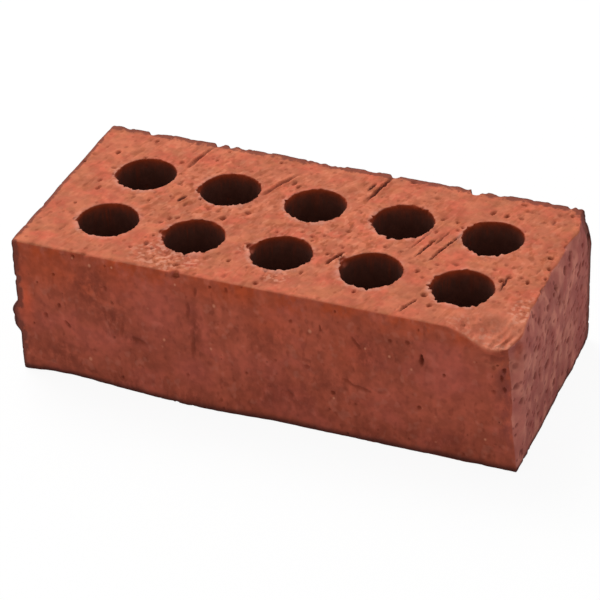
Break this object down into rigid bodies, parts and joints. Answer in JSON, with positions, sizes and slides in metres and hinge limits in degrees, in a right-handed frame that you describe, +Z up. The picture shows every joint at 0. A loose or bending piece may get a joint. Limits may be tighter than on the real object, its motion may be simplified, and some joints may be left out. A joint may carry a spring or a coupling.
{
  "type": "cored clay brick",
  "caption": "Rectangular fired clay brick with rows of round cores right through it, rough wire-cut bed faces, smooth sides and one worn top corner.",
  "frame": {"origin": "under the middle of the brick, on the floor that its bottom bed face lies on", "axes": "+X along the length, +Y across the width away from the stretcher face seen in front, +Z up through the cores"},
  "size_m": [0.203, 0.092, 0.06],
  "materials": {
    "fired_clay": "rough fired terracotta, smoother and darker on the die-formed sides"
  },
  "bodies": {
    "root": {"brick": "fired_clay"}
  },
  "joints": []
}
